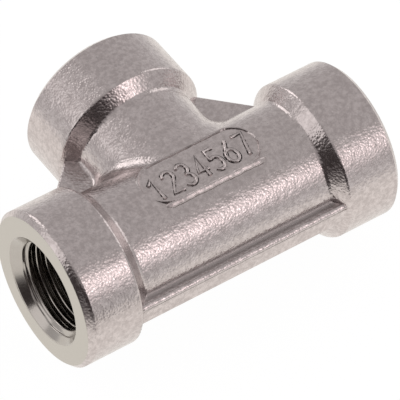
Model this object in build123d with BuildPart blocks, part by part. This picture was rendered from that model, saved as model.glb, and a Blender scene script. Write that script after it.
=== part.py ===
"""Female pipe tee, thread size 1/8, cast in stainless steel as one piece.

Frame: X runs along the straight run, +Y points out of the branch and +Z is up.
The origin is where the two axes cross. The tee lies on its three collars.
Units are millimetres.
"""

import os

from build123d import *

# Reach of the ends, from the crossing of the axes out to each end face
run_reach = 17.0
branch_reach = 17.0

# Tubes of the run and the branch, and the round in the corner where they meet
body_radius = 6.4
neck_step = 0.1
junction_round = 2.1

# Banded collars round the three mouths, each with a sloped shoulder behind it
collar_step = 1.3
collar_width = 5.6
collar_end_chamfer = 0.4
collar_rim_round = 0.3
shoulder_length = 1.25
shoulder_foot_round = 0.5

# Rib along the back of the run and webs in the two corners, in the middle plane
rib_thickness = 2.2
rib_height = 1.0
rib_edge_round = 0.25
rib_foot_round = 0.4

# Flat name panel across the crown of the run, with a low lip round it
panel_depth = 0.2
panel_length = 12.4
panel_width = 4.85
panel_shift = 0.37
panel_slope = 35.0
lip_width = 0.2
lip_height = 0.12

# Bores: a chamfered mouth, the threaded length and the cast passage behind it
thread_radius = 4.864
thread_depth = 8.0
mouth_chamfer = 0.54
passage_radius = 4.3

# Places that follow from the sizes above
neck_radius = body_radius - neck_step
collar_radius = body_radius + collar_step
run_collar_start = run_reach - collar_width
branch_collar_start = branch_reach - collar_width
rib_reach = body_radius + rib_height
web_reach = body_radius + collar_step / 2
panel_floor = body_radius - panel_depth
lip_top = panel_floor + lip_height

# Half sections are drawn with their length along the axis and their radius down
run_plane = Plane(origin=(0, 0, 0), x_dir=(1, 0, 0), z_dir=(0, 1, 0))
branch_plane = Plane(origin=(0, 0, 0), x_dir=(0, 1, 0), z_dir=(-1, 0, 0))


def collar_section(reach, tube_radius):
    """Half section of a collar and its sloped shoulder, out to the end face."""
    rim = (reach - collar_width, collar_radius)
    foot = (reach - collar_width - shoulder_length, tube_radius)
    end = (reach, collar_radius)
    start = foot[0] - shoulder_foot_round
    with BuildSketch() as section:
        with BuildLine():
            Polyline((start, 0), (start, tube_radius), foot, rim, end, (reach, 0), close=True)
        make_face()
        fillet(section.vertices().sort_by_distance(foot)[0], shoulder_foot_round)
        fillet(section.vertices().sort_by_distance(rim)[0], collar_rim_round)
        chamfer(section.vertices().sort_by_distance(end)[0], collar_end_chamfer)
    return section.sketch


def bore_section(reach):
    """Half section of the bore, from the crossing out through one mouth."""
    thread_end = reach - thread_depth
    thread_start = reach - mouth_chamfer
    with BuildSketch() as section:
        with BuildLine():
            Polyline(
                (0, 0),
                (0, passage_radius),
                (thread_end - (thread_radius - passage_radius), passage_radius),
                (thread_end, thread_radius),
                (thread_start, thread_radius),
                (reach, thread_radius + mouth_chamfer),
                (reach, 0),
                close=True,
            )
        make_face()
    return section.sketch


def is_outer_edge_face(face):
    """True for the narrow outer face of the rib or of a web."""
    normal = face.normal_at()
    behind_run = normal.Y < -0.99
    slanted = abs(normal.X) > 0.1 and normal.Y > 0.1
    return abs(normal.Z) < 0.01 and (behind_run or slanted)


def is_hidden_end_face(face):
    """True for the ends of the tubes and of the plate, which the collars cover."""
    normal = face.normal_at()
    return abs(normal.X) > 0.99 or normal.Y > 0.99


with BuildPart() as tee_body:
    # Tubes of the run and the branch, blended where they cross
    with BuildSketch(Plane.YZ):
        Circle(body_radius)
    extrude(amount=run_reach, both=True)
    with BuildSketch(Plane.XZ):
        Circle(neck_radius)
    extrude(amount=-branch_reach)
    fillet(tee_body.edges(Select.LAST).filter_by(GeomType.BSPLINE), junction_round)

    # The rib and the two webs are one flat plate through the middle plane
    with BuildSketch(Plane.XY):
        with BuildLine():
            Polyline(
                (-run_collar_start, -rib_reach),
                (run_collar_start, -rib_reach),
                (run_collar_start, web_reach),
                (web_reach, branch_collar_start),
                (-web_reach, branch_collar_start),
                (-run_collar_start, web_reach),
                close=True,
            )
        make_face()
    extrude(amount=rib_thickness / 2, both=True)

    # Cast rounds along the feet of the plate, then along its outer edges
    flats = tee_body.faces().filter_by(Plane.XY)
    sides = tee_body.faces().filter_by(GeomType.PLANE)
    outer = sides.filter_by(is_outer_edge_face)
    hidden = sides.filter_by(is_hidden_end_face)
    fillet(flats.edges() - outer.edges() - hidden.edges(), rib_foot_round)
    flats = tee_body.faces().filter_by(Plane.XY)
    outer = tee_body.faces().filter_by(GeomType.PLANE).filter_by(is_outer_edge_face)
    fillet(flats.edges() & outer.edges(), rib_edge_round)

    # Collars and shoulders of the run and of the branch
    with BuildSketch(run_plane):
        run_collar = collar_section(run_reach, body_radius)
        add(run_collar)
        mirror(run_collar, about=Plane.YZ)
    revolve(axis=Axis.X)
    with BuildSketch(branch_plane):
        add(collar_section(branch_reach, neck_radius))
    revolve(axis=Axis.Y)

    # Name panel: a low block up to the lip, then its floor sunk inside the lip
    with BuildSketch(Plane.XY.offset(lip_top)):
        with Locations((0, panel_shift)):
            SlotOverall(panel_length, panel_width)
    extrude(amount=passage_radius - lip_top, taper=-panel_slope)
    with BuildSketch(Plane.XY.offset(panel_floor)):
        with Locations((0, panel_shift)):
            SlotOverall(panel_length - 2 * lip_width, panel_width - 2 * lip_width)
    extrude(amount=collar_radius - panel_floor, taper=-panel_slope, mode=Mode.SUBTRACT)

    # Bore through the run and bore of the branch
    with BuildSketch(run_plane):
        run_bore = bore_section(run_reach)
        add(run_bore)
        mirror(run_bore, about=Plane.YZ)
    revolve(axis=Axis.X, mode=Mode.SUBTRACT)
    with BuildSketch(branch_plane):
        add(bore_section(branch_reach))
    revolve(axis=Axis.Y, mode=Mode.SUBTRACT)

tee_body.part.label = "tee_body"

os.makedirs("parts", exist_ok=True)
export_step(tee_body.part, "parts/tee_body.step")
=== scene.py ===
"""Looks of the cast pipe tee: blasted steel skin, machined ends, threads and panel digits."""

import math

import bpy
from mathutils import Matrix, Vector


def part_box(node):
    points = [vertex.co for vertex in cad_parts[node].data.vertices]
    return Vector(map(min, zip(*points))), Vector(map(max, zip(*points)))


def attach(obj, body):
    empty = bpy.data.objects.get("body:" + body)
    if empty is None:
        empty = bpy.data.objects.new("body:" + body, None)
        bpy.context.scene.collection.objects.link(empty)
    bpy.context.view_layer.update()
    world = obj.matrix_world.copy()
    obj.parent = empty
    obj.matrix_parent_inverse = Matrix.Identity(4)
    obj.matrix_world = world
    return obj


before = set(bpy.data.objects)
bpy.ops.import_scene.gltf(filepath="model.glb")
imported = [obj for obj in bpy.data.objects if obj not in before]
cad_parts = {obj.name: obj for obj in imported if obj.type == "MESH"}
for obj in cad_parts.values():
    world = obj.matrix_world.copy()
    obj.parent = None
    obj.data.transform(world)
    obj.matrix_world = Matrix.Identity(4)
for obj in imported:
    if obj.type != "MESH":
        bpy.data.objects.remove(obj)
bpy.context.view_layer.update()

MM = 0.001

# Reach of the ends and level of the floor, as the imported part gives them
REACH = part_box("tee_body")[1].x
FLOOR_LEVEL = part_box("tee_body")[0].z

# Threads: radii of their roots and crests, their pitch, and their depth behind the end face
THREAD_ROOT = 4.864 * MM
THREAD_CREST = 4.38 * MM
THREAD_PITCH = 0.907 * MM
THREAD_DEPTH = 8.0 * MM

# Where the threads start, as a part of a turn
THREAD_PHASE = 0.58

# Profile: its flats as parts of the pitch, and its flanks from straight (0) to smooth (1)
ROOT_FLAT = 0.10
CREST_FLAT = 0.38
THREAD_ROUNDING = 0.5

# Countersink of the mouths, and the shallow first groove in it, which deepens past its end
COUNTERSINK = 0.54 * MM
LEAD_GROOVE = 0.09 * MM
LEAD_DEPTH = 1.0 * MM
LEAD_SLOPE = 2.0

# Lining that carries the threads: how far it stands off the bore's wall and reaches into it,
# and its divisions round and along
THREAD_SKIN = 0.025 * MM
THREAD_BACK = 0.06 * MM
THREAD_SIDES = 144
THREAD_ROWS = 126

# Name panel on the crown of the run, and the plain digits on it with painted shade at their feet
PANEL_FLOOR = 6.2 * MM
PANEL_TEXT = "1234567"
DIGIT_STROKE = 0.30 * MM
DIGIT_RISE = 0.175 * MM
FOOT_STROKE = 0.50 * MM
FOOT_RISE = 0.012 * MM
DIGIT_WIDTH = 1.15 * MM
DIGIT_HEIGHT = 2.6 * MM
DIGIT_PITCH = 1.6 * MM
DIGITS_LEFT = -5.4 * MM
DIGITS_BOTTOM = -1.25 * MM
DIGITS_TILT = 0.027

# Painted shade in the corner under the panel's far wall
CORNER_LEFT = -4.6 * MM
CORNER_RIGHT = 3.9 * MM
CORNER_SIDE = 2.64 * MM
CORNER_WIDTH = 0.16 * MM
CORNER_RISE = 0.8 * CORNER_WIDTH

# Uneven cast beads along the near edge of the panel and the outer edge of the rib.
# Their sections are corners in Y and Z, and their unevenness is a height, all in mm.
PANEL_BEAD_LEFT = -5.2 * MM
PANEL_BEAD_RIGHT = 5.6 * MM
PANEL_BEAD_UNEVENNESS = 0.022
PANEL_BEAD = [
    (-1.9, 6.2),
    (-2.0, 6.29),
    (-2.1, 6.29),
    (-2.2, 6.21),
    (-2.32, 6.08),
    (-2.46, 5.92),
    (-2.2, 5.75),
]
RIB_BEAD_REACH = 11.5 * MM
RIB_BEAD_UNEVENNESS = 0.006
RIB_BEAD = [
    (-6.98, 1.06),
    (-7.1, 1.2),
    (-7.14, 1.2),
    (-7.42, 0.94),
    (-7.44, 0.88),
    (-7.41, 0.6),
    (-7.15, 0.7),
]

# Length of a bead's steps, how far its ends sink in mm, and in how many steps
BEAD_STEP = 0.05 * MM
BEAD_SINK = 0.25
BEAD_SINK_STEPS = 14

# Waves of a bead sideways and upwards: share of the unevenness, radians per mm, and shift
SWAY_WAVES = [(1.0, 2.3, 0.0), (0.6, 6.1, 1.0)]
SWELL_WAVES = [(0.6, 3.7, 2.0), (0.4, 8.3, 0.0)]

# Cast skin: sizes of its grain, and the depth and least roughness of the skin and of the beads
GRAIN_SIZE = 0.22 * MM
SPECK_SIZE = 0.3 * MM
MOTTLE_SIZE = 0.5 * MM
PIT_SIZE = 0.7 * MM
CLOUD_SIZE = 4.0 * MM
SKIN_RELIEF = 0.048 * MM
SKIN_POLISH = 0.17
BEAD_RELIEF = 0.02 * MM
BEAD_POLISH = 0.27
POLISH_RANGE = 0.09
PIT_SHARE = 0.5
GRAIN_SHARE = 0.42

# Tones of the cast skin, and the noise levels between which specks and mottle set in
SKIN_DEEP = (0.63, 0.567, 0.562, 1)
SKIN_PALE = (0.71, 0.645, 0.64, 1)
SPECK_TONE = (0.46, 0.425, 0.42, 1)
SPECK_LEVELS = (0.52, 0.80)
MOTTLE_TONE = (0.51, 0.457, 0.452, 1)
MOTTLE_LEVELS = (0.30, 0.70)

# End faces, turned smooth: where they set in, and the share of the skin's relief that they lose
FACE_EDGE = (REACH - 0.04 * MM, REACH - 0.01 * MM)
FACE_TONE = (0.545, 0.515, 0.475, 1)
FACE_ROUGHNESS = 0.32
FACE_FLATNESS = 0.96

# Painted shade inside the bores: the radius where it ends. The weight counts what lies behind the
# run's axis, so that the branch's bore doesn't darken the back of the run.
PASSAGE_RADIUS = (4.95 * MM, 5.0 * MM)
PASSAGE_SHADE_TONE = (0.14, 0.13, 0.12, 1)
BACK_WEIGHT = 10.0

# Crease along the rib's foot, rougher and darker, the darker tone painted shade:
# its extent behind the run, along it and in height
CREASE_START = (6.15 * MM, 6.3 * MM)
CREASE_END = (6.75 * MM, 6.9 * MM)
CREASE_REACH = (10.0 * MM, 10.4 * MM)
CREASE_HEIGHT = (1.7 * MM, 2.1 * MM)
CREASE_SHADE_TONE = (0.41, 0.37, 0.365, 1)
CREASE_ROUGHNESS = 0.22

# Soft roll on the outer edge of the left collar: where it starts and ends behind the end face,
# and its fall as a share of that length
EDGE_ROLL = 0.85 * MM
EDGE_CHAMFER = 0.4 * MM
ROLL_SHARE = 0.5

# Turned steel of the mouths and threads, with painted shade in the grooves beyond the first turn
TURNED_DEEP = (0.42, 0.39, 0.365, 1)
TURNED_PALE = (0.53, 0.50, 0.47, 1)
TURNED_ROUGHNESS = (0.12, 0.24)
TURNED_CLOUD_SIZE = 1.5 * MM
TURNED_MARK_SIZE = 0.12 * MM
TURNED_MARK_DEPTH = 0.01 * MM
TURNED_MARK_STRENGTH = 0.25
# Painted shade in the grooves: its tone, where it starts along the axis, and the facing it covers
GROOVE_SHADE_TONE = (0.21, 0.19, 0.17, 1)
GROOVE_PLACE = (REACH - 1.5 * MM, REACH - 1.0 * MM)
GROOVE_FACING = (0.35, 0.75)

# Painted shade in crevices: size of its dark patches, their noise levels, and the paler tone
# between them
CREVICE_SHADE_TONE = (0.05, 0.045, 0.045, 1)
CREVICE_ROUGHNESS = (0.5, 0.35)
FOOT_PATCH = 0.45 * MM
FOOT_LEVELS = (0.46, 0.55)
FOOT_SHADE_TONE = (0.50, 0.455, 0.45, 1)
CORNER_PATCH = 2.5 * MM
CORNER_LEVELS = (0.05, 0.50)
CORNER_SHADE_TONE = (0.42, 0.38, 0.375, 1)

# Camera: the photograph's angle, with the point that it looks at
CAMERA_AZIMUTH = -36.687
CAMERA_ELEVATION = 48.804
CAMERA_ROLL = 2.655
CAMERA_TARGET = Vector((0.541, 0.676, 0.757)) * MM
CAMERA_DISTANCE = 417.57 * MM
CAMERA_FOCAL_PIXELS = 4609.6
CAMERA_NEAREST = 10 * MM
CAMERA_FURTHEST = 20.0
IMAGE_WIDTH = 400
SENSOR_WIDTH = 36.0

# Side of the room that is dark, at the front left
DARK_SIDE = (-0.64, -0.77, 0.0)

# Floor: half its side in metres, where it turns from bright to dim, which comes nearer on the
# dark side, its tones in reflections and to the eye, and the share of glow in it
FLOOR_HALF = 1.5
FLOOR_DIMMING = (42 * MM, 75 * MM)
FLOOR_NEARER = 16 * MM
FLOOR_DARK_FACING = (0.55, 0.85)
FLOOR_TONE = (1.06, 1.035, 0.985, 1)
FLOOR_FAR_TONE = (0.78, 0.77, 0.76, 1)
FLOOR_DARK_TONE = (0.16, 0.15, 0.15, 1)
FLOOR_SEEN_TONE = (1.04, 1.04, 1.04, 1)
FLOOR_PAINT = (0.9, 0.9, 0.9, 1)
FLOOR_GLOW = 0.93

# Room: its tones, and the heights and the width that its dim and dark parts fill
ROOM_LOW_TONE = (0.61, 0.595, 0.59, 1)
ROOM_HIGH_TONE = (0.56, 0.543, 0.538, 1)
ROOM_HEIGHT = (0.15, 0.65)
DIM_TONE = (0.36, 0.34, 0.34, 1)
DIM_HEIGHT = (0.72, 0.90)
DARK_TONE = (0.05, 0.042, 0.042, 1)
DARK_HEIGHT = (0.46, 0.58)
DARK_FACING = (0.61, 0.69)

# Lamps: bearing, height and width as seen from the object, in degrees, then radiance and colour
LAMP_DISTANCE = 600 * MM
LAMPS = {
    "key": (160, 32, 10, 2.4, (1.0, 0.86, 0.86)),
    "key_haze": (161, 31, 36, 0.52, (1.0, 0.90, 0.90)),
    "right": (84, 28, 38, 0.75, (1.0, 0.97, 0.96)),
    "back": (-18, 26, 32, 1.2, (1.0, 0.97, 0.96)),
    "left": (-71, 27, 38, 0.50, (1.0, 0.97, 0.96)),
}


class Nodes:
    """Short way to build a node tree: add a node, set its inputs, link it."""

    def __init__(self, tree):
        self.tree = tree
        tree.nodes.clear()

    def add(self, kind, inputs=None, **settings):
        node = self.tree.nodes.new(kind)
        for name, value in settings.items():
            setattr(node, name, value)
        for name, value in (inputs or {}).items():
            self.plug(value, node.inputs[name])
        return node

    def plug(self, value, socket):
        if isinstance(value, bpy.types.NodeSocket):
            self.tree.links.new(value, socket)
        else:
            socket.default_value = value

    def math(self, operation, first, second=0.0):
        node = self.add("ShaderNodeMath", {0: first, 1: second}, operation=operation)
        return node.outputs[0]

    def vector(self, operation, *inputs):
        node = self.add("ShaderNodeVectorMath", dict(enumerate(inputs)), operation=operation)
        return node.outputs["Value" if operation in ("LENGTH", "DOT_PRODUCT") else "Vector"]

    def reverse(self, value):
        """1 less the value."""
        return self.math("SUBTRACT", 1.0, value)

    def smooth(self, value, low, high):
        """0 below low, 1 above high, and a smooth step between them."""
        inputs = {"Value": value, "From Min": low, "From Max": high}
        node = self.add("ShaderNodeMapRange", inputs)
        node.interpolation_type = "SMOOTHSTEP"
        return node.outputs["Result"]

    def spread(self, value, low, high):
        """A value from 0 to 1 spread from low to high."""
        inputs = {"Value": value, "To Min": low, "To Max": high}
        return self.add("ShaderNodeMapRange", inputs).outputs["Result"]

    def mix(self, factor, first, second):
        """Colour between the first (factor 0) and the second (factor 1)."""
        node = self.add("ShaderNodeMix", data_type="RGBA")
        self.plug(factor, node.inputs["Factor"])
        self.plug(first, node.inputs[6])
        self.plug(second, node.inputs[7])
        return node.outputs[2]

    def length(self, vector, weights):
        """Length of a vector, counting only the axes that have a weight."""
        return self.vector("LENGTH", self.vector("MULTIPLY", vector, weights))

    def facing(self, vector, side):
        """1 where the level part of a vector points to that side, -1 where it points away."""
        level = self.vector("MULTIPLY", vector, (1, 1, 0))
        return self.vector("DOT_PRODUCT", self.vector("NORMALIZE", level), side)

    def noise(self, place, size, detail=2.0, roughness=0.5):
        """Noise from 0 to 1 whose largest lumps are about that size."""
        inputs = {"Vector": place, "Scale": 1 / size, "Detail": detail, "Roughness": roughness}
        return self.add("ShaderNodeTexNoise", inputs).outputs["Fac"]

    def bump(self, height, distance, strength=1.0, **more):
        """Normal of a surface with that relief, as deep as the distance for a height of 1."""
        inputs = {"Height": height, "Strength": strength, "Distance": distance, **more}
        return self.add("ShaderNodeBump", inputs).outputs["Normal"]

    def metal(self, colour, roughness, **more):
        """End the tree with a metal surface."""
        inputs = {"Base Color": colour, "Metallic": 1.0, "Roughness": roughness, **more}
        shader = self.add("ShaderNodeBsdfPrincipled", inputs)
        self.add("ShaderNodeOutputMaterial", {"Surface": shader.outputs["BSDF"]})


def new_material(name):
    material = bpy.data.materials.new(name)
    material.use_nodes = True
    return material, Nodes(material.node_tree)


def passage_shade_mask(nodes, place, back):
    """1 inside the bores of the run and the branch, where painted shade goes, 0 on the outer skin.
    """
    behind = nodes.math("MAXIMUM", back, 0.0)
    from_run = nodes.length(place, (0, 1, 1))
    from_branch = nodes.length(place, (1, 0, 1))
    from_branch = nodes.math("ADD", from_branch, nodes.math("MULTIPLY", behind, BACK_WEIGHT))
    nearest = nodes.math("MINIMUM", from_run, from_branch)
    return nodes.reverse(nodes.smooth(nearest, *PASSAGE_RADIUS))


def crease_mask(nodes, place, back, along_run):
    """1 in the crease along the rib's foot, above and below it, 0 elsewhere. Painted shade goes
    there.
    """
    start = nodes.smooth(back, *CREASE_START)
    crease = nodes.math("SUBTRACT", start, nodes.smooth(back, *CREASE_END))
    beside = nodes.reverse(nodes.smooth(along_run, *CREASE_REACH))
    height = nodes.length(place, (0, 0, 1))
    level = nodes.reverse(nodes.smooth(height, *CREASE_HEIGHT))
    return nodes.math("MULTIPLY", nodes.math("MULTIPLY", crease, beside), level)


def edge_roll(nodes, left):
    """Normal that rolls the outer edge of the left collar, by bump only."""
    inputs = {"Value": left, "From Min": REACH - EDGE_ROLL, "From Max": REACH - EDGE_CHAMFER}
    way = nodes.add("ShaderNodeMapRange", inputs).outputs["Result"]
    fall = nodes.math("MULTIPLY", nodes.math("MULTIPLY", way, way), -ROLL_SHARE)
    return nodes.bump(fall, EDGE_ROLL - EDGE_CHAMFER)


def cast_steel(name, relief, polish):
    """Blasted cast skin with turned end faces, painted shade in the passage and in the rib's
    crease.

    Relief is the depth of its grain, and polish its least roughness.
    """
    material, nodes = new_material(name)
    place = nodes.add("ShaderNodeTexCoord").outputs["Object"]
    split = nodes.add("ShaderNodeSeparateXYZ", {"Vector": place})
    left = nodes.math("MULTIPLY", split.outputs["X"], -1.0)
    back = nodes.math("MULTIPLY", split.outputs["Y"], -1.0)
    along_run = nodes.math("ABSOLUTE", split.outputs["X"])
    furthest = nodes.math("MAXIMUM", along_run, split.outputs["Y"])
    turned = nodes.smooth(furthest, *FACE_EDGE)
    inside = passage_shade_mask(nodes, place, back)
    crease = crease_mask(nodes, place, back, along_run)

    cells = {"Vector": place, "Scale": 1 / GRAIN_SIZE, "Smoothness": 0.5}
    grain = nodes.add("ShaderNodeTexVoronoi", cells, feature="SMOOTH_F1").outputs["Distance"]
    pits = nodes.noise(place, PIT_SIZE, roughness=0.6)
    clouds = nodes.noise(place, CLOUD_SIZE, roughness=0.5)
    specks = nodes.noise(place, SPECK_SIZE, roughness=0.6)
    mottle = nodes.noise(place, MOTTLE_SIZE, roughness=0.7)

    tone = nodes.mix(clouds, SKIN_DEEP, SKIN_PALE)
    tone = nodes.mix(nodes.smooth(specks, *SPECK_LEVELS), tone, SPECK_TONE)
    tone = nodes.mix(nodes.smooth(mottle, *MOTTLE_LEVELS), tone, MOTTLE_TONE)
    # Painted shade: a dark tone inside the bores
    tone = nodes.mix(inside, tone, PASSAGE_SHADE_TONE)
    # Painted shade: a darker tone along the rib's foot, over the highlight there
    tone = nodes.mix(crease, tone, CREASE_SHADE_TONE)
    colour = nodes.mix(turned, tone, FACE_TONE)

    rough_skin = nodes.spread(pits, polish, polish + POLISH_RANGE)
    rough_crease = nodes.math("MULTIPLY", crease, CREASE_ROUGHNESS)
    roughness = nodes.add("ShaderNodeMix", {"Factor": turned}, data_type="FLOAT")
    nodes.plug(nodes.math("ADD", rough_skin, rough_crease), roughness.inputs[2])
    nodes.plug(FACE_ROUGHNESS, roughness.inputs[3])

    swell = nodes.math("MULTIPLY", pits, PIT_SHARE)
    height = nodes.math("SUBTRACT", swell, nodes.math("MULTIPLY", grain, GRAIN_SHARE))
    rough_part = nodes.reverse(nodes.math("MULTIPLY", turned, FACE_FLATNESS))
    height = nodes.math("MULTIPLY", height, rough_part)
    normal = nodes.bump(height, relief, Normal=edge_roll(nodes, left))
    nodes.metal(colour, roughness.outputs[0], Normal=normal)
    return material


def turned_steel(name, axis):
    """Bright turned steel of the mouth on that axis, with painted shade in the grooves further in.
    """
    material, nodes = new_material(name)
    coordinates = nodes.add("ShaderNodeTexCoord")
    place = coordinates.outputs["Object"]
    along = nodes.vector("DOT_PRODUCT", place, axis)
    outward = nodes.vector("DOT_PRODUCT", coordinates.outputs["Normal"], axis)
    deep = nodes.reverse(nodes.smooth(along, *GROOVE_PLACE))
    shaded = nodes.reverse(nodes.smooth(outward, *GROOVE_FACING))
    groove = nodes.math("MULTIPLY", deep, shaded)
    clouds = nodes.noise(place, TURNED_CLOUD_SIZE, detail=3.0, roughness=0.6)
    marks = nodes.noise(place, TURNED_MARK_SIZE)
    colour = nodes.mix(clouds, TURNED_DEEP, TURNED_PALE)
    # Painted shade: a dark tone on faces further in that turn away from the mouth
    colour = nodes.mix(groove, colour, GROOVE_SHADE_TONE)
    normal = nodes.bump(marks, TURNED_MARK_DEPTH, TURNED_MARK_STRENGTH)
    nodes.metal(colour, nodes.spread(clouds, *TURNED_ROUGHNESS), Normal=normal)
    return material


def crevice_shade_steel(name, patch, levels, pale):
    """Painted shade for crevices: dark patches of that size with a paler tone between them."""
    material, nodes = new_material(name)
    place = nodes.add("ShaderNodeTexCoord").outputs["Object"]
    patches = nodes.noise(place, patch, roughness=0.6)
    colour = nodes.mix(nodes.smooth(patches, *levels), CREVICE_SHADE_TONE, pale)
    nodes.metal(colour, nodes.spread(patches, *CREVICE_ROUGHNESS))
    return material


def floor_surface():
    """Pale floor: white to the eye, bright near the object in reflections, and it takes shadows."""
    material, nodes = new_material("studio_floor")
    place = nodes.add("ShaderNodeTexCoord").outputs["Object"]
    dark_side = nodes.smooth(nodes.facing(place, DARK_SIDE), *FLOOR_DARK_FACING)
    reach = nodes.length(place, (1, 1, 0))
    reach = nodes.math("ADD", reach, nodes.math("MULTIPLY", dark_side, FLOOR_NEARER))
    far_tone = nodes.mix(dark_side, FLOOR_FAR_TONE, FLOOR_DARK_TONE)
    mirrored = nodes.mix(nodes.smooth(reach, *FLOOR_DIMMING), FLOOR_TONE, far_tone)

    rays = nodes.add("ShaderNodeLightPath")
    tone = nodes.mix(rays.outputs["Is Camera Ray"], mirrored, FLOOR_SEEN_TONE)
    diffuse = nodes.add("ShaderNodeBsdfDiffuse", {"Color": FLOOR_PAINT})
    glow = nodes.add("ShaderNodeEmission", {"Color": tone, "Strength": 1.0})
    seen = nodes.math("MAXIMUM", rays.outputs["Is Camera Ray"], rays.outputs["Is Glossy Ray"])
    seen = nodes.math("MAXIMUM", seen, rays.outputs["Is Transmission Ray"])
    mixed = nodes.add("ShaderNodeMixShader", {"Fac": nodes.math("MULTIPLY", seen, FLOOR_GLOW)})
    nodes.plug(diffuse.outputs["BSDF"], mixed.inputs[1])
    nodes.plug(glow.outputs["Emission"], mixed.inputs[2])
    nodes.add("ShaderNodeOutputMaterial", {"Surface": mixed.outputs["Shader"]})
    return material


def studio_world():
    """Grey room, paler near the horizon, dark at the front left, and white to the camera."""
    world = bpy.data.worlds.new("studio")
    bpy.context.scene.world = world
    world.use_nodes = True
    nodes = Nodes(world.node_tree)
    direction = nodes.add("ShaderNodeTexCoord").outputs["Generated"]
    rise = nodes.add("ShaderNodeSeparateXYZ", {"Vector": direction}).outputs["Z"]
    front = nodes.smooth(nodes.facing(direction, DARK_SIDE), *DARK_FACING)
    dim = nodes.math("MULTIPLY", front, nodes.reverse(nodes.smooth(rise, *DIM_HEIGHT)))
    dark = nodes.math("MULTIPLY", front, nodes.reverse(nodes.smooth(rise, *DARK_HEIGHT)))
    tone = nodes.mix(nodes.smooth(rise, *ROOM_HEIGHT), ROOM_LOW_TONE, ROOM_HIGH_TONE)
    tone = nodes.mix(dim, tone, DIM_TONE)
    tone = nodes.mix(dark, tone, DARK_TONE)
    rays = nodes.add("ShaderNodeLightPath")
    camera_ray = rays.outputs["Is Camera Ray"]
    seen = nodes.math("MAXIMUM", camera_ray, rays.outputs["Is Transmission Ray"])
    colour = nodes.mix(seen, tone, (1, 1, 1, 1))
    glow = nodes.add("ShaderNodeBackground", {"Color": colour, "Strength": 1.0})
    nodes.add("ShaderNodeOutputWorld", {"Surface": glow.outputs["Background"]})


def towards(bearing, rise):
    """Direction from the object: bearing in degrees from +Y towards +X, and rise above level."""
    turn = math.radians(bearing)
    lift = math.radians(rise)
    level = math.cos(lift)
    return Vector((math.sin(turn) * level, math.cos(turn) * level, math.sin(lift)))


def area_lamp(name, direction, spread, radiance, colour):
    """Round lamp that shines at the object and is spread degrees wide as seen from there."""
    lamp = bpy.data.lights.new(name, "AREA")
    lamp.shape = "DISK"
    lamp.size = 2 * LAMP_DISTANCE * math.tan(math.radians(spread) / 2)
    lamp.energy = radiance * math.pi * math.pi * lamp.size**2 / 4
    lamp.color = colour
    holder = bpy.data.objects.new(name, lamp)
    bpy.context.collection.objects.link(holder)
    holder.location = direction * LAMP_DISTANCE
    holder.rotation_euler = direction.to_track_quat("Z", "Y").to_euler()


def make_camera():
    """Camera at the photograph's angle, looking down on the object from the front left."""
    data = bpy.data.cameras.new("camera")
    data.sensor_width = SENSOR_WIDTH
    data.lens = CAMERA_FOCAL_PIXELS * SENSOR_WIDTH / IMAGE_WIDTH
    data.clip_start = CAMERA_NEAREST
    data.clip_end = CAMERA_FURTHEST
    camera = bpy.data.objects.new("camera", data)
    bpy.context.collection.objects.link(camera)
    side = math.radians(CAMERA_AZIMUTH)
    rise = math.radians(CAMERA_ELEVATION)
    level = math.cos(rise)
    back = Vector((math.sin(side) * level, -math.cos(side) * level, math.sin(rise)))
    upright = back.to_track_quat("Z", "Y").to_matrix()
    turn = upright @ Matrix.Rotation(math.radians(CAMERA_ROLL), 3, "Z")
    camera.location = CAMERA_TARGET + back * CAMERA_DISTANCE
    camera.rotation_euler = turn.to_euler()
    bpy.context.scene.camera = camera


def make_floor():
    """Square floor that the tee lies on."""
    mesh = bpy.data.meshes.new("floor")
    square = ((-1, -1), (1, -1), (1, 1), (-1, 1))
    corners = [(x * FLOOR_HALF, y * FLOOR_HALF, 0) for x, y in square]
    mesh.from_pydata(corners, [], [(0, 1, 2, 3)])
    floor = bpy.data.objects.new("floor", mesh)
    floor.location.z = FLOOR_LEVEL
    bpy.context.collection.objects.link(floor)
    mesh.materials.append(floor_surface())


def new_piece(name, points, faces, material):
    """Smooth-shaded mesh piece of the tee that rides on its body."""
    mesh = bpy.data.meshes.new(name)
    mesh.from_pydata(points, [], faces)
    mesh.validate()
    mesh.materials.append(material)
    for polygon in mesh.polygons:
        polygon.use_smooth = True
    piece = bpy.data.objects.new(name, mesh)
    bpy.context.collection.objects.link(piece)
    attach(piece, "root")


def thread_radius_at(depth, turn):
    """Radius of the threaded wall at that depth behind the end face and that part of a turn."""
    phase = (depth / THREAD_PITCH + turn + THREAD_PHASE) % 1.0
    flank = 1.0 - abs(2.0 * phase - 1.0)
    ridge = min(max((flank - ROOT_FLAT) / (1.0 - ROOT_FLAT - CREST_FLAT), 0.0), 1.0)
    rounded = ridge * ridge * (3.0 - 2.0 * ridge)
    ridge = rounded * THREAD_ROUNDING + ridge * (1.0 - THREAD_ROUNDING)
    fade = min((THREAD_DEPTH - depth) / THREAD_PITCH, 1.0)
    radius = THREAD_ROOT - (THREAD_ROOT - THREAD_CREST) * ridge * max(fade, 0.0)
    mouth = THREAD_ROOT + COUNTERSINK - depth
    first_groove = mouth + LEAD_GROOVE + LEAD_SLOPE * max(depth - LEAD_DEPTH, 0.0)
    return max(min(radius, first_groove), mouth) - THREAD_SKIN


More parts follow.
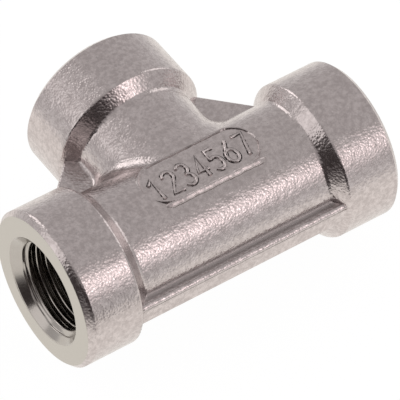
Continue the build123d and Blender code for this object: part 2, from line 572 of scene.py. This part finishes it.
def make_thread(name, axis, material):
    """Threaded lining of one mouth: a closed sleeve whose back lies inside the wall."""
    out = Vector(axis)
    across = Vector((0, 0, 1))
    up = out.cross(across)
    turns = [side / THREAD_SIDES for side in range(THREAD_SIDES)]
    angles = [math.tau * turn for turn in turns]
    spokes = [across * math.cos(angle) + up * math.sin(angle) for angle in angles]
    length = THREAD_DEPTH - THREAD_SKIN
    rows = [THREAD_SKIN + length * row / THREAD_ROWS for row in range(THREAD_ROWS + 1)]
    points = []
    for depth in rows:
        for turn, spoke in zip(turns, spokes):
            points.append(out * (REACH - depth) + spoke * thread_radius_at(depth, turn))
    for depth in (rows[-1], rows[0]):
        back = max(THREAD_ROOT, THREAD_ROOT + COUNTERSINK - depth) + THREAD_BACK
        for spoke in spokes:
            points.append(out * (REACH - depth) + spoke * back)
    loops = len(rows) + 2
    faces = []
    for loop in range(loops):
        first = loop * THREAD_SIDES
        second = (loop + 1) % loops * THREAD_SIDES
        for side in range(THREAD_SIDES):
            after = (side + 1) % THREAD_SIDES
            faces.append((first + side, first + after, second + after, second + side))
    new_piece(name, points, faces, material)


def line(*corners):
    """Stroke of straight lines through those corners."""
    return [Vector((x, y, 0)) for x, y in corners]


def arc(x, y, width, height, start, end):
    """Stroke along an ellipse with those half axes, from one angle in degrees to another."""
    steps = max(6, int(abs(end - start) / 15))
    angles = [math.radians(start + (end - start) * step / steps) for step in range(steps + 1)]
    return [
        Vector((x + width * math.cos(angle), y + height * math.sin(angle), 0)) for angle in angles
    ]


# Strokes of the digits, in a box one wide and two high with its corner at the origin
DIGITS = {
    "1": [line((0.1, 1.55), (0.55, 2.0), (0.55, 0.0))],
    "2": [arc(0.5, 1.5, 0.45, 0.5, 170, -20) + line((0.05, 0.0), (0.98, 0.0))],
    "3": [arc(0.45, 1.52, 0.45, 0.48, 150, -90), arc(0.45, 0.52, 0.5, 0.52, 90, -150)],
    "4": [line((0.7, 0.0), (0.7, 2.0), (0.0, 0.6), (1.0, 0.6))],
    "5": [line((0.9, 2.0), (0.15, 2.0), (0.1, 1.15)) + arc(0.45, 0.62, 0.5, 0.62, 120, -140)],
    "6": [line((0.75, 2.0)) + arc(0.5, 0.6, 0.48, 0.6, 165, 525)],
    "7": [line((0.0, 2.0), (0.95, 2.0), (0.35, 0.0))],
}


def make_strokes(name, strokes, width, rise, material):
    """Piece of rounded strokes of that width, which stand that high on the panel's floor."""
    curve = bpy.data.curves.new(name, "CURVE")
    curve.dimensions = "3D"
    curve.bevel_depth = width / 2
    curve.bevel_resolution = 3
    curve.use_fill_caps = True
    for spots in strokes:
        spline = curve.splines.new("POLY")
        spline.points.add(len(spots) - 1)
        for point, (x, y) in zip(spline.points, spots):
            point.co = (x, y, 0, 1)
    holder = bpy.data.objects.new(name, curve)
    tubes = bpy.data.meshes.new_from_object(holder)
    bpy.data.objects.remove(holder)
    flatten = rise / (width / 2)
    spots = [vertex.co for vertex in tubes.vertices]
    points = [(spot.x, spot.y, PANEL_FLOOR + spot.z * flatten) for spot in spots]
    faces = [tuple(polygon.vertices) for polygon in tubes.polygons]
    bpy.data.meshes.remove(tubes)
    new_piece(name, points, faces, material)


def make_digits(name, width, rise, material):
    """The panel's digits, with strokes of that width and height."""
    strokes = []
    for place, digit in enumerate(PANEL_TEXT):
        left = DIGITS_LEFT + DIGIT_PITCH * place
        for stroke in DIGITS[digit]:
            across = [left + spot.x * DIGIT_WIDTH for spot in stroke]
            upward = [DIGITS_BOTTOM + spot.y * DIGIT_HEIGHT / 2 for spot in stroke]
            strokes.append([(x, y + x * DIGITS_TILT) for x, y in zip(across, upward)])
    make_strokes(name, strokes, width, rise, material)


def make_corner(material):
    """Painted shade: a dark strip in the corner between the panel's floor and its far wall."""
    corner = [(CORNER_LEFT, CORNER_SIDE), (CORNER_RIGHT, CORNER_SIDE)]
    make_strokes("panel_corner_shade", [corner], CORNER_WIDTH, CORNER_RISE, material)


def wave(parts, way):
    """Sum of sine waves at that way along X in mm."""
    return sum(share * math.sin(rate * way + shift) for share, rate, shift in parts)


def make_bead(name, left, right, section, unevenness, material):
    """Uneven cast bead along X with that section, sinking into the body at both ends."""
    steps = round((right - left) / BEAD_STEP)
    points = []
    for step in range(steps + 1):
        x = left + (right - left) * step / steps
        sway = unevenness * wave(SWAY_WAVES, x / MM)
        swell = unevenness * wave(SWELL_WAVES, x / MM)
        nearest_end = min(step, steps - step)
        sink = BEAD_SINK * max(0.0, 1.0 - nearest_end / BEAD_SINK_STEPS) ** 2
        for y, z in section:
            points.append((x, (y + sway) * MM, (z + swell - sink) * MM))
    corners = len(section)
    faces = [tuple(range(corners)), tuple(reversed(range(steps * corners, len(points))))]
    for step in range(steps):
        first = step * corners
        second = first + corners
        for corner in range(corners):
            after = (corner + 1) % corners
            faces.append((first + corner, second + corner, second + after, first + after))
    new_piece(name, points, faces, material)


bpy.context.scene.view_settings.view_transform = "Standard"
make_camera()
make_floor()
studio_world()
for name, (bearing, rise, spread, radiance, colour) in LAMPS.items():
    area_lamp(name, towards(bearing, rise), spread, radiance, colour)

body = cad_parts["tee_body"]
body.data.materials.clear()
skin = cast_steel("cast_steel_skin", SKIN_RELIEF, SKIN_POLISH)
body.data.materials.append(skin)

for name, axis in (("run_left", (-1, 0, 0)), ("run_right", (1, 0, 0)), ("branch", (0, 1, 0))):
    make_thread("thread_" + name, axis, turned_steel("turned_steel_" + name, axis))

# Painted shade: dark strips at the digits' feet and in the panel's far corner
foot_shade = crevice_shade_steel("digit_foot_shade_skin", FOOT_PATCH, FOOT_LEVELS, FOOT_SHADE_TONE)
# Painted shade for the panel's far corner
shaded = crevice_shade_steel("corner_shade_skin", CORNER_PATCH, CORNER_LEVELS, CORNER_SHADE_TONE)
make_digits("digit_foot_shade", FOOT_STROKE, FOOT_RISE, foot_shade)
make_corner(shaded)
make_digits("panel_digits", DIGIT_STROKE, DIGIT_RISE, skin)

soft_skin = cast_steel("cast_steel_bead", BEAD_RELIEF, BEAD_POLISH)
make_bead(
    "panel_bead", PANEL_BEAD_LEFT, PANEL_BEAD_RIGHT, PANEL_BEAD, PANEL_BEAD_UNEVENNESS, soft_skin
)
make_bead("rib_bead", -RIB_BEAD_REACH, RIB_BEAD_REACH, RIB_BEAD, RIB_BEAD_UNEVENNESS, skin)
